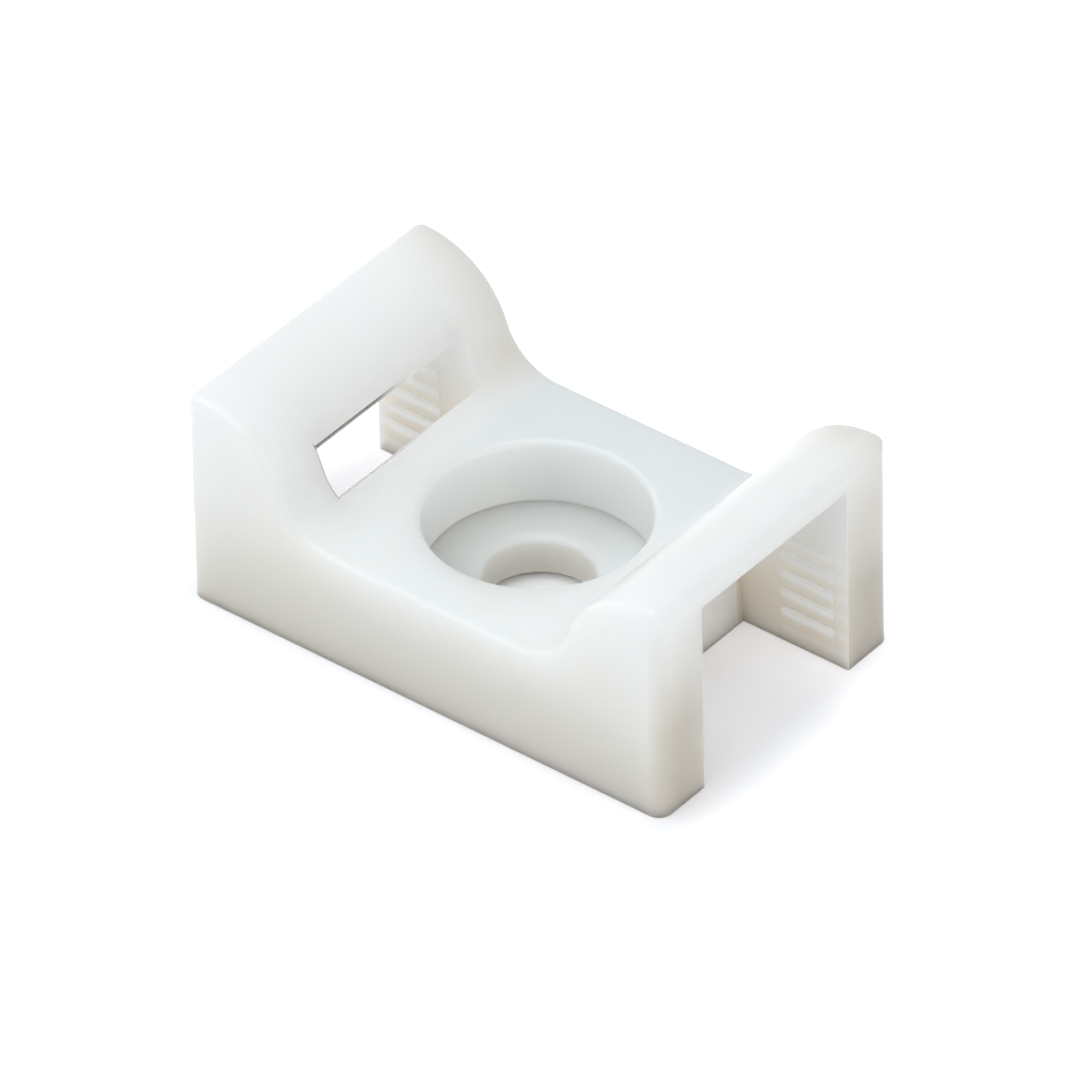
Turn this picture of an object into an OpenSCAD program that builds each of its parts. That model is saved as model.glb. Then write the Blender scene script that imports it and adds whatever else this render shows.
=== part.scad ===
// Cable tie mount, saddle pattern, moulded in one piece.
// A screw through the middle holds it down. The strap goes in at one end,
// comes up through a slot, crosses the saddle and leaves at the other end.
// Origin: on the screw's axis, in the plane that the mount stands on.
// +X runs along the mount from ear to ear, +Z is up. Lengths are in mm.

/* [Body] */
// Length over the two ears
body_l = 15.8; // [15:0.1:20]
// Width of the body
body_w = 9.7; // [9.2:0.1:12]
// Height of the saddle
saddle_h = 3.4; // [3:0.1:3.8]
// Radius of the four upright corners
corner_r = 0.4; // [0.2:0.05:0.6]
// Radius of the edges along both sides
side_edge_r = 0.25; // [0.1:0.05:0.35]

/* [Ears] */
// Height of the ears
ear_h = 6.65; // [6.5:0.05:7.4]
// Radius of the round shoulder on each ear
ear_r = 2.9; // [2.8:0.05:3.2]
// Radius of the hollow from the ear into the saddle
ear_foot_r = 1.7; // [1.2:0.1:2]
// Radius of the ear's outer top edge
ear_edge_r = 0.4; // [0.3:0.05:0.6]

/* [Strap passage] */
// Width of the widest strap
strap_w = 4.8; // [3.6:0.1:4.8]
// Room on each side of that strap
strap_side_clear = 0.65; // [0.4:0.05:0.8]
// Depth of the passage along the base, from the end face to its end wall
passage_foot_depth = 3.48; // [3.4:0.02:3.6]
// Depth of the passage level with the saddle, where its end wall has leant in
passage_depth = 3.65; // [3.5:0.05:3.7]
// Height of the passage at its mouth
mouth_h = 5.9; // [5.5:0.1:5.9]
// Width of the slot on the saddle side, seen from above
slot_gap = 0.72; // [0.5:0.02:0.8]
// Thickness of the ear's lip at the slot
slot_lip_t = 0.15; // [0.1:0.05:0.25]

/* [Grip ribs] */
// Ribs on each cheek of a passage
rib_count = 5; // [1:1:5]
// Height of the lowest rib
rib_first_h = 1.15; // [0.9:0.05:1.3]
// Distance from rib to rib
rib_pitch = 0.61; // [0.5:0.01:0.65]
// Length of a rib
rib_l = 1.7; // [1:0.1:2]
// How far a rib stands out from the cheek
rib_proud = 0.12; // [0.06:0.02:0.2]
// Distance from the end face to a rib
rib_inset = 0.45; // [0.3:0.05:0.8]

/* [Screw hole] */
// Diameter of the screw
screw_d = 2.8; // [2.5:0.1:3.2]
// Room round the screw, across the diameter
screw_clear = 0.2; // [0.1:0.05:0.4]
// Diameter of the well for the screw head
well_d = 6.15; // [5.5:0.05:6.3]
// Plastic under the screw head
seat_h = 1.42; // [1:0.02:1.8]
// Radius of the well's lip
well_lip_r = 0.2; // [0.1:0.05:0.4]
// Radius of the hole's upper edge
hole_edge_r = 0.3; // [0.1:0.05:0.4]
// Chamfer on the hole's lower edge
hole_chamfer = 0.3; // [0.1:0.05:0.4]

/* [Hidden] */
$fn = 96;
eps = 0.01;
past = 1;
half_l = body_l / 2;
half_w = body_w / 2;

// The outer edge's circle and the shoulder's circle meet level, at the top
edge_x = half_l - ear_edge_r;
edge_z = ear_h - ear_edge_r;
shoulder_z = ear_h - ear_r;
// The foot's circle touches the shoulder from outside and the saddle from above
foot_z = saddle_h + ear_foot_r;
foot_in = sqrt(pow(ear_r + ear_foot_r, 2) - pow(foot_z - shoulder_z, 2));
foot_x = edge_x - foot_in;

passage_w = strap_w + 2 * strap_side_clear;
wall_foot_x = half_l - passage_foot_depth;
wall_x = half_l - passage_depth;
wall_lean = (wall_foot_x - wall_x) / saddle_h;
slot_x = wall_x + slot_gap;
slot_top_z = shoulder_z + sqrt(pow(ear_r, 2) - pow(edge_x - slot_x, 2));
ceiling_z = slot_top_z - slot_lip_t;
ceiling_slope = (mouth_h - ceiling_z) / (half_l - slot_x);
rib_drop = rib_pitch - eps;

hole_r = (screw_d + screw_clear) / 2;

// Places its children at both ends
module both_ends() {
    children();
    mirror([1, 0, 0]) children();
}

// Places its children on both sides
module both_sides() {
    children();
    mirror([0, 1, 0]) children();
}

// Turns an outline drawn in X and Z into a slab across the mount
module across(w) {
    rotate([90, 0, 0]) linear_extrude(height = w, center = true) children();
}

// Sweeps its children round an axis across the mount, angles up from +X
module sweep(x, z, from_a, to_a) {
    translate([x, 0, z]) rotate([90, 0, 0]) rotate([0, 0, from_a])
        rotate_extrude(angle = to_a - from_a) children();
}

// What rounding takes off a square corner that is at the origin
module corner_waste(r) {
    difference() {
        translate([-r, -r]) square(r + past);
        translate([-r, -r]) circle(r = r);
    }
}

// Section across the mount, from X = 0 inside it to a surface at X = depth,
// with both of the surface's edges rounded
module rim(depth) {
    intersection() {
        union() {
            translate([0, -half_w]) square([depth - side_edge_r, body_w]);
            translate([0, side_edge_r - half_w]) square([depth, body_w - 2 * side_edge_r]);
            for (side = [-1, 1])
                translate([depth - side_edge_r, side * (half_w - side_edge_r)]) circle(r = side_edge_r);
        }
        translate([0, -half_w]) square([depth, body_w]);
    }
}

module saddle() {
    rotate([0, -90, 0]) linear_extrude(height = 2 * foot_x, center = true) rim(saddle_h);
}

// Everything above the line through the shoulder's and the foot's centres
module above_blend() {
    across(body_w + 2 * past) polygon([
        [foot_x, foot_z],
        [edge_x, shoulder_z],
        [half_l + past, shoulder_z],
        [half_l + past, ear_h + past],
        [foot_x, ear_h + past]
    ]);
}

// One ear: its outer edge, its shoulder and its foot follow one another round,
// and the shoulder turns into the foot at the line through their centres
module ear() {
    sweep(edge_x, edge_z, 0, 90) rim(ear_edge_r);
    intersection() {
        sweep(edge_x, shoulder_z, 90, 180) rim(ear_r);
        above_blend();
    }
    difference() {
        sweep(foot_x, foot_z, -90, 0)
            translate([ear_foot_r + ear_r, 0]) mirror([1, 0]) rim(ear_r);
        above_blend();
    }
    across(body_w) polygon([
        [foot_x, 0],
        [half_l, 0],
        [half_l, edge_z],
        [edge_x, edge_z],
        [edge_x - ear_r / 2, shoulder_z + ear_r / 2],
        [foot_x, saddle_h / 2]
    ]);
}

module plan_outline() {
    straight_l = body_l - 2 * corner_r;
    straight_w = body_w - 2 * corner_r;
    square([body_l, straight_w], center = true);
    square([straight_l, body_w], center = true);
    for (x = [-straight_l, straight_l], y = [-straight_w, straight_w])
        translate([x / 2, y / 2]) circle(r = corner_r);
}

module block() {
    intersection() {
        union() {
            saddle();
            both_ends() ear();
        }
        linear_extrude(height = ear_h + past) plan_outline();
    }
}

// The strap's way in under the ear and up through the slot
module passage() {
    across(passage_w) polygon([
        [wall_foot_x + wall_lean * past, -past],
        [wall_foot_x - wall_lean * ear_h, ear_h],
        [slot_x, ear_h],
        [slot_x, ceiling_z],
        [half_l + past, mouth_h + ceiling_slope * past],
        [half_l + past, -past]
    ]);
}

// One barbed rib on the cheek at +Y, its shelf facing up
module rib() {
    rotate([90, 0, 90]) linear_extrude(height = rib_l) polygon([
        [eps, 0],
        [-rib_proud, 0],
        [eps, -rib_drop]
    ]);
}

module ribs() {
    for (i = [0 : rib_count - 1])
        translate([half_l - rib_inset - rib_l, passage_w / 2, rib_first_h + i * rib_pitch]) rib();
}

// Half the section of the screw's hole, rounded above and chamfered below
module hole_section() {
    translate([0, -past]) square([hole_r, seat_h + past]);
    translate([hole_r, seat_h]) mirror([1, 0]) corner_waste(hole_edge_r);
    polygon([
        [0, hole_chamfer],
        [hole_r, hole_chamfer],
        [hole_r + hole_chamfer + past, -past],
        [0, -past]
    ]);
}

// Half the section of the well for the screw's head, its lip rounded and run
// out into the hollows of the ears
module well_section() {
    lip_x = well_d / 2 + well_lip_r;
    translate([0, seat_h]) square([well_d / 2, ear_h]);
    translate([well_d / 2, saddle_h]) mirror([1, 0]) corner_waste(well_lip_r);
    polygon([
        [0, saddle_h],
        [lip_x, saddle_h],
        [lip_x + past, saddle_h + past],
        [0, saddle_h + past]
    ]);
}

module screw_hole() {
    rotate_extrude() {
        hole_section();
        well_section();
    }
}

module tie_mount() {
    color("ivory") {
        difference() {
            block();
            both_ends() passage();
            screw_hole();
        }
        both_ends() both_sides() ribs();
    }
}

tie_mount();
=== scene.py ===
"""A cable tie mount of natural nylon, standing on a white sweep under soft light."""

import math

import bpy
from mathutils import Matrix, Vector

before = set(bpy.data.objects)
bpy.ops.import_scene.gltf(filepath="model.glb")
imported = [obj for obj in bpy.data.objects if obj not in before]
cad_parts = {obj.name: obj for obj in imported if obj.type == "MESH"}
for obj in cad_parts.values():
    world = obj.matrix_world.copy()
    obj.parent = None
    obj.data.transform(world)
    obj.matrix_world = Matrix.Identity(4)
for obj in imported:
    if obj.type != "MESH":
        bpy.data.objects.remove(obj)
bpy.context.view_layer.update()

MM = 0.001
scene = bpy.context.scene
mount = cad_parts["tie_mount"]

# The part's own measures in mm, as its source has them
HALF_LENGTH = 7.9
HALF_WIDTH = 4.85
SADDLE_HEIGHT = 3.4
SEAT_HEIGHT = 1.42
MOUTH_HEIGHT = 5.9
CHEEK = 3.05
SLOT_SILL = 4.25
SLOT_LIP = 4.97
RIB_START = 5.75
FIRST_RIB = 1.15
RIB_PITCH = 0.61
LAST_RIB = FIRST_RIB + 4 * RIB_PITCH


# ---------------------------------------------------------------- node helpers
class Graph:
    """Builds a node tree in plain calls."""

    def __init__(self, tree):
        self.tree = tree
        tree.nodes.clear()

    def add(self, kind, inputs=None, **settings):
        node = self.tree.nodes.new(kind)
        for name, value in settings.items():
            setattr(node, name, value)
        for name, value in (inputs or {}).items():
            self.put(node.inputs[name], value)
        return node

    def put(self, socket, value):
        if isinstance(value, bpy.types.NodeSocket):
            self.tree.links.new(value, socket)
        else:
            socket.default_value = value

    def vector(self, operation, *values):
        """The node of a vector operation, which gives a Vector or a Value."""
        return self.add("ShaderNodeVectorMath", dict(enumerate(values)), operation=operation)

    def math(self, operation, *values):
        return self.add("ShaderNodeMath", dict(enumerate(values)), operation=operation).outputs["Value"]

    def parts(self, vector):
        split = self.add("ShaderNodeSeparateXYZ", {"Vector": vector})
        return split.outputs["X"], split.outputs["Y"], split.outputs["Z"]

    def noise(self, at, scale, detail=2.0, rough=0.5):
        return self.add("ShaderNodeTexNoise", {
            "Vector": at, "Scale": scale, "Detail": detail, "Roughness": rough}).outputs["Fac"]

    def ramp(self, value, *stops):
        node = self.add("ShaderNodeValToRGB", {"Fac": value})
        marks = node.color_ramp.elements
        while len(marks) < len(stops):
            marks.new(0.5)
        for mark, (place, colour) in zip(marks, stops):
            mark.position = place
            mark.color = (*colour, 1.0)
        return node.outputs["Color"]

    def span(self, value, low, high, to_low, to_high, **settings):
        return self.add("ShaderNodeMapRange", {
            "Value": value, "From Min": low, "From Max": high,
            "To Min": to_low, "To Max": to_high}, **settings).outputs["Result"]

    def mix(self, share, a, b):
        """Colour a where share is 0, and b where it is 1."""
        node = self.add("ShaderNodeMix", data_type="RGBA")
        self.put(node.inputs["Factor"], share)
        for name, colour in (("A", a), ("B", b)):
            self.put([s for s in node.inputs if s.name == name and s.type == "RGBA"][0], colour)
        return [s for s in node.outputs if s.type == "RGBA"][0]

    def mix_value(self, share, a, b):
        return self.add("ShaderNodeMix", {"Factor": share, "A": a, "B": b}).outputs["Result"]

    def rises(self, value, edge, width):
        """0 up to the edge, and 1 from a width past it."""
        return self.span(value, edge, edge + width, 0.0, 1.0)

    def falls(self, value, edge, width):
        """1 up to the edge, and 0 from a width past it."""
        return self.span(value, edge, edge + width, 1.0, 0.0)

    def all_of(self, first, *others):
        for other in others:
            first = self.math("MULTIPLY", first, other)
        return first

    def any_of(self, first, *others):
        for other in others:
            first = self.math("MAXIMUM", first, other)
        return first

    def seen_white(self):
        """1 for the rays that show the backdrop: to the camera, off gloss and through glass."""
        path = self.add("ShaderNodeLightPath").outputs
        return self.any_of(path["Is Camera Ray"], path["Is Glossy Ray"], path["Is Transmission Ray"])


def material(name):
    made = bpy.data.materials.new(name)
    made.use_nodes = True
    return made, Graph(made.node_tree)


# ---------------------------------------------------------------- natural nylon
class Spot:
    """Where a point of the mount lies, in mm, and how far its face looks up."""

    def __init__(self, g):
        coords = g.add("ShaderNodeTexCoord")
        self.mm = g.add("ShaderNodeMapping", {
            "Vector": coords.outputs["Object"], "Scale": (1 / MM, 1 / MM, 1 / MM)}).outputs["Vector"]
        # The same at both ends and on both sides
        self.along, self.across, self.height = g.parts(g.vector("ABSOLUTE", self.mm).outputs["Vector"])
        self.x, self.y, _ = g.parts(self.mm)
        flat = g.vector("MULTIPLY", self.mm, (1.0, 1.0, 0.0)).outputs["Vector"]
        self.radius = g.vector("LENGTH", flat).outputs["Value"]
        self.faces_up = g.parts(g.add("ShaderNodeNewGeometry").outputs["True Normal"])[2]


def outer_colour(g, spot, low):
    """Milky, with painted shade: darker below, and on the leg ends, the far side and the saddle; and painted
    light and shade in the well.

    They were matched to one photograph, so they hold some of its shade.
    """
    clouds = g.noise(spot.mm, 0.32, 3.0, 0.55)
    milky = g.ramp(clouds, (0.32, (0.950, 0.955, 0.945)), (0.50, (0.955, 0.948, 0.920)),
                   (0.68, (0.955, 0.928, 0.872)))
    # Painted shade: darker towards the base, warmer on the sides and cooler on what faces up.
    painted_base_shade = g.mix(g.rises(spot.faces_up, 0.3, 0.6), (0.722, 0.690, 0.640, 1.0), (0.785, 0.815, 0.825, 1.0))
    colour = g.mix(low, milky, painted_base_shade)

    # Painted shade on the ends of the legs, fading upwards and darkest towards +Y.
    legs = g.all_of(g.rises(spot.along, HALF_LENGTH - 0.45, 0.44), g.falls(spot.height, 2.6, 3.8))
    painted_leg_end_shade = g.mix(g.rises(spot.y, 3.0, 1.8), (0.630, 0.575, 0.500, 1.0), (0.540, 0.490, 0.425, 1.0))
    colour = g.mix(legs, colour, painted_leg_end_shade)

    # Painted shade on the far (+Y) side: cool over the saddle, warm and darker on the ears.
    far_side = g.all_of(g.rises(spot.y, 2.4, 2.6), g.rises(spot.height, 2.4, 1.6))
    painted_far_side_shade = g.mix(g.rises(spot.along, 3.0, 1.2), (0.790, 0.810, 0.825, 1.0), (0.705, 0.635, 0.560, 1.0))
    colour = g.mix(far_side, colour, painted_far_side_shade)

    # Painted light and shade on the well's wall: lighter and warmer towards -Y, darker towards +Y.
    lip_radius = 3.4
    in_well = g.falls(spot.radius, lip_radius, 0.2)
    wall = g.all_of(in_well, g.rises(spot.height, SEAT_HEIGHT + 0.02, 0.04), g.falls(spot.faces_up, 0.5, 0.4))
    shade = g.mix(g.rises(spot.y, 1.0, 1.6), (0.985, 0.965, 0.915, 1.0), (0.840, 0.850, 0.845, 1.0))
    colour = g.mix(wall, colour, shade)
    # Painted shade over the -X part of the well's seat.
    seat = g.all_of(in_well, g.falls(spot.height, SEAT_HEIGHT + 0.06, 0.04), g.rises(spot.faces_up, 0.6, 0.3),
                    g.falls(spot.x, 0.2, 1.8))
    colour = g.mix(seat, colour, (0.685, 0.680, 0.655, 1.0))

    # Painted shade on the saddle's top, growing towards +Y.
    saddle = g.all_of(g.falls(spot.along, 3.0, 0.8), g.rises(spot.height, SADDLE_HEIGHT - 0.2, 0.1),
                      g.rises(spot.faces_up, 0.85, 0.12), g.rises(spot.y, -2.0, 5.0))
    return g.mix(saddle, colour, (0.775, 0.805, 0.815, 1.0))


def passage_colour(g, spot, low):
    """The walls of the strap passages: painted light makes them lighter than outside, and painted shade makes
    them darker and warmer low down, the cheeks most.
    """
    cheek = g.rises(spot.across, 2.8, 0.1)
    painted_low_passage_shade = g.mix(cheek, (0.985, 0.955, 0.900, 1.0), (0.850, 0.785, 0.705, 1.0))
    return g.mix(low, (1.000, 0.992, 0.975, 1.0), painted_low_passage_shade)


def in_passages(g, spot):
    """1 inside the strap passages. Above the ribs, what faces up is the ear's outside."""
    wall_or_rib = g.any_of(g.falls(spot.height, LAST_RIB + 0.03, 0.02), g.falls(spot.faces_up, 0.3, 0.1))
    return g.all_of(g.rises(spot.along, SLOT_SILL - 0.1, 0.1), g.falls(spot.across, CHEEK + 0.02, 0.01),
                    g.falls(spot.height, MOUTH_HEIGHT - 0.05, 0.1), wall_or_rib)


def painted_rib_highlights(g, spot):
    """Where the ribs get painted highlights: 1 on each rib's shelf and the upper part of its slope, and a
    quarter on the cheek level with it.
    """
    on_ribs = g.all_of(g.rises(spot.across, CHEEK - 0.15, 0.01), g.falls(spot.across, CHEEK - 0.003, 0.004),
                       g.rises(spot.along, RIB_START - 0.05, 0.02), g.falls(spot.height, 4.2, 0.1))
    ribs_up = g.span(spot.height, FIRST_RIB - 2 * RIB_PITCH, FIRST_RIB + 8 * RIB_PITCH, 0.0, 10.0)
    turn = g.math("FRACT", ribs_up)
    slope = g.all_of(g.rises(turn, 0.45, 0.30), g.falls(turn, 0.98, 0.02))
    return g.all_of(on_ribs, g.any_of(slope, g.rises(spot.faces_up, 0.5, 0.1)))


def painted_slot_edge_shade(g, spot):
    """Where a dark line of painted shade goes: 1 on the sharp edges round each slot, on lip, sill and ends.
    It fades out before the +Y side.

    Known slip: the lip's share also falls, by half, on a strip of the -Y cheek below the lip,
    from Z = 4 mm up. It shows from behind as a thin dark line.
    """
    lip = g.all_of(g.rises(spot.along, SLOT_LIP - 0.02, 0.01), g.falls(spot.along, SLOT_LIP + 0.02, 0.01),
                   g.rises(spot.height, 4.0, 0.1), g.falls(spot.across, CHEEK - 0.01, 0.02),
                   g.falls(spot.faces_up, 0.1, 0.1), g.rises(spot.faces_up, -0.2, 0.1))
    sill = g.all_of(g.rises(spot.along, SLOT_SILL - 0.07, 0.01), g.falls(spot.along, SLOT_SILL + 0.01, 0.01),
                    g.falls(spot.across, CHEEK + 0.01, 0.01), g.rises(spot.faces_up, 0.6, 0.1),
                    g.falls(spot.faces_up, 0.8, 0.02))
    ends = g.all_of(g.rises(spot.across, CHEEK - 0.01, 0.01), g.falls(spot.across, CHEEK + 0.035, 0.01),
                    g.rises(spot.along, SLOT_SILL - 0.03, 0.01), g.falls(spot.along, SLOT_LIP + 0.03, 0.02),
                    g.rises(spot.faces_up, 0.2, 0.1))
    return g.all_of(g.any_of(lip, sill, ends), g.falls(spot.y, -0.4, 1.4))


def natural_nylon():
    """Unfilled nylon, milky and slightly see-through, with painted light and shade placed by the part's
    measures.
    """
    made, g = material("natural_nylon")
    spot = Spot(g)
    low = g.span(spot.height, 0.0, 6.0, 1.0, 0.0, interpolation_type="SMOOTHSTEP")
    inside = in_passages(g, spot)

    colour = g.mix(inside, outer_colour(g, spot, low), passage_colour(g, spot, low))
    # Painted highlights on the rib shelves.
    colour = g.mix(painted_rib_highlights(g, spot), colour, (1.0, 1.0, 0.99, 1.0))
    # Painted shade: a dark line round each slot's edges, fading out towards +Y.
    colour = g.mix(painted_slot_edge_shade(g, spot), colour, (0.10, 0.085, 0.07, 1.0))

    # Light travels less far near the base and in the passages
    reach = g.mix_value(inside, g.span(low, 1.0, 0.0, 1.8 * MM, 5.0 * MM), 1.5 * MM)
    roughness = g.span(g.noise(spot.mm, 0.9, 2.0, 0.5), 0.3, 0.7, 0.285, 0.36)
    ripple = g.noise(spot.mm, 0.6, 1.0, 0.4)
    wave = g.add("ShaderNodeBump", {"Strength": 0.12, "Distance": 0.20 * MM, "Height": ripple})

    shader = g.add("ShaderNodeBsdfPrincipled", {
        "Base Color": colour, "Roughness": roughness, "Normal": wave.outputs["Normal"],
        "IOR": 1.53, "Subsurface Weight": 0.92, "Subsurface Radius": (0.90, 0.95, 1.0),
        "Subsurface Scale": reach, "Subsurface Anisotropy": 0.3,
    }, subsurface_method="RANDOM_WALK")
    g.add("ShaderNodeOutputMaterial", {"Surface": shader.outputs["BSDF"]})
    return made


mount.data.materials.clear()
mount.data.materials.append(natural_nylon())


# ---------------------------------------------------------------- the sweep it stands on
def openness(g, at):
    """Near 0 at the mount and 1 from 3 mm outside it, or sooner on its +Y side."""
    away = g.vector("ABSOLUTE", at).outputs["Vector"]
    past = g.vector("SUBTRACT", away, (HALF_LENGTH * MM, HALF_WIDTH * MM, 0.0)).outputs["Vector"]
    outside = g.vector("MAXIMUM", past, (0.0, 0.0, 0.0)).outputs["Vector"]
    gap = g.vector("LENGTH", outside).outputs["Value"]
    behind = g.span(g.parts(at)[1], 1.0 * MM, 5.0 * MM, 0.0, 1.6 * MM)
    return g.span(g.math("ADD", gap, behind), -0.5 * MM, 3.0 * MM, 0.0, 1.0, interpolation_type="SMOOTHSTEP")


def sweep_white():
    """White card. The camera sees it a little lifted, so it stays white and keeps the soft shadow."""
    made, g = material("sweep_white")
    at = g.add("ShaderNodeTexCoord").outputs["Object"]
    grain = g.noise(at, 900.0, 2.0, 0.5)
    paper = g.ramp(grain, (0.3, (0.95, 0.935, 0.955)), (0.7, (0.97, 0.955, 0.975)))
    open_floor = openness(g, at)

    shown = g.add("ShaderNodeAddShader")
    # The lift is weak near the mount and full from 3 mm out, sooner on its +Y side, so the camera also sees a
    # painted shadow round the mount, on top of the real one.
    lift = g.add("ShaderNodeEmission", {
        "Color": (1.0, 0.98, 1.0, 1.0), "Strength": g.span(open_floor, 0.0, 1.0, 0.05, 0.55)})
    g.put(shown.inputs[0], g.add("ShaderNodeBsdfDiffuse", {"Color": paper}).outputs["BSDF"])
    g.put(shown.inputs[1], lift.outputs["Emission"])

    # What lights the mount from below
    bounce = g.ramp(open_floor, (0.0, (0.93, 0.88, 0.82)), (1.0, (0.88, 0.87, 0.86)))
    seen = g.add("ShaderNodeMixShader", {"Fac": g.seen_white()})
    g.put(seen.inputs[1], g.add("ShaderNodeBsdfDiffuse", {"Color": bounce}).outputs["BSDF"])
    g.put(seen.inputs[2], shown.outputs["Shader"])
    g.add("ShaderNodeOutputMaterial", {"Surface": seen.outputs["Shader"]})
    return made


def floor():
    half = 0.6
    sheet = bpy.data.meshes.new("floor")
    corners = [(-half, -half, 0), (half, -half, 0), (half, half, 0), (-half, half, 0)]
    sheet.from_pydata(corners, [], [(0, 1, 2, 3)])
    placed = bpy.data.objects.new("floor", sheet)
    scene.collection.objects.link(placed)
    placed.location.z = -0.02 * MM
    sheet.materials.append(sweep_white())


floor()


# ---------------------------------------------------------------- light
def room():
    """A white room, a little brighter and cooler overhead."""
    world = bpy.data.worlds.new("room")
    scene.world = world
    world.use_nodes = True
    g = Graph(world.node_tree)
    upward = g.parts(g.add("ShaderNodeTexCoord").outputs["Generated"])[2]
    glow = g.span(upward, 0.0, 1.0, 0.41, 0.54)
    shade = g.ramp(upward, (0.0, (1.0, 0.955, 0.90)), (0.8, (0.90, 0.965, 1.0)))
    air = g.add("ShaderNodeBackground", {"Color": shade, "Strength": glow})
    backdrop = g.add("ShaderNodeBackground", {"Color": (1.0, 1.0, 1.0, 1.0), "Strength": 1.0})
    seen = g.add("ShaderNodeMixShader", {"Fac": g.seen_white()})
    g.put(seen.inputs[1], air.outputs["Background"])
    g.put(seen.inputs[2], backdrop.outputs["Background"])
    g.add("ShaderNodeOutputWorld", {"Surface": seen.outputs["Shader"]})


def softbox(name, azimuth, elevation, distance, size, power, colour):
    """A square lamp aimed at the part. Azimuth 0 is in front of it (-Y) and 90 at its right (+X)."""
    a, e = math.radians(azimuth), math.radians(elevation)
    out = Vector((math.sin(a) * math.cos(e), -math.cos(a) * math.cos(e), math.sin(e)))
    lamp = bpy.data.lights.new(name, "AREA")
    lamp.shape = "SQUARE"
    lamp.size = size
    lamp.energy = power
    lamp.color = colour
    placed = bpy.data.objects.new(name, lamp)
    scene.collection.objects.link(placed)
    placed.location = out * distance
    placed.rotation_mode = "QUATERNION"
    placed.rotation_quaternion = (-out).to_track_quat("-Z", "Y")


room()
softbox("overhead", -20, 72, 0.45, 0.60, 1.50, (0.90, 0.965, 1.0))
softbox("front_fill", -50, 30, 0.50, 0.40, 0.14, (0.95, 0.98, 1.0))
softbox("right_fill", 95, 14, 0.50, 0.20, 0.25, (1.0, 0.97, 0.93))
softbox("left_fill", -95, 16, 0.50, 0.20, 0.30, (0.93, 0.97, 1.0))


# ---------------------------------------------------------------- camera
def camera():
    """A long lens from the front right, a little rolled."""
    azimuth, elevation, roll = math.radians(39.41), math.radians(37.91), math.radians(-1.353)
    ahead = Vector((-math.sin(azimuth) * math.cos(elevation), math.cos(azimuth) * math.cos(elevation),
                    -math.sin(elevation)))
    level = Vector((math.cos(azimuth), math.sin(azimuth), 0))
    rise = level.cross(ahead)
    right = math.cos(roll) * level + math.sin(roll) * rise
    up = math.cos(roll) * rise - math.sin(roll) * level
    aim = Vector((0, -0.011, 2.963)) * MM
    shift_right, shift_up, distance = 0.0673, -0.3590, 389.08
    place = aim + (shift_right * right + shift_up * up - distance * ahead) * MM

    lens = bpy.data.cameras.new("camera")
    lens.sensor_width = 36
    lens.lens = 495
    lens.clip_start = 0.01
    lens.clip_end = 10
    placed = bpy.data.objects.new("camera", lens)
    scene.collection.objects.link(placed)
    turned = Matrix((right, up, -ahead)).transposed()
    placed.matrix_world = Matrix.Translation(place) @ turned.to_4x4()
    scene.camera = placed


camera()
scene.view_settings.view_transform = "Standard"
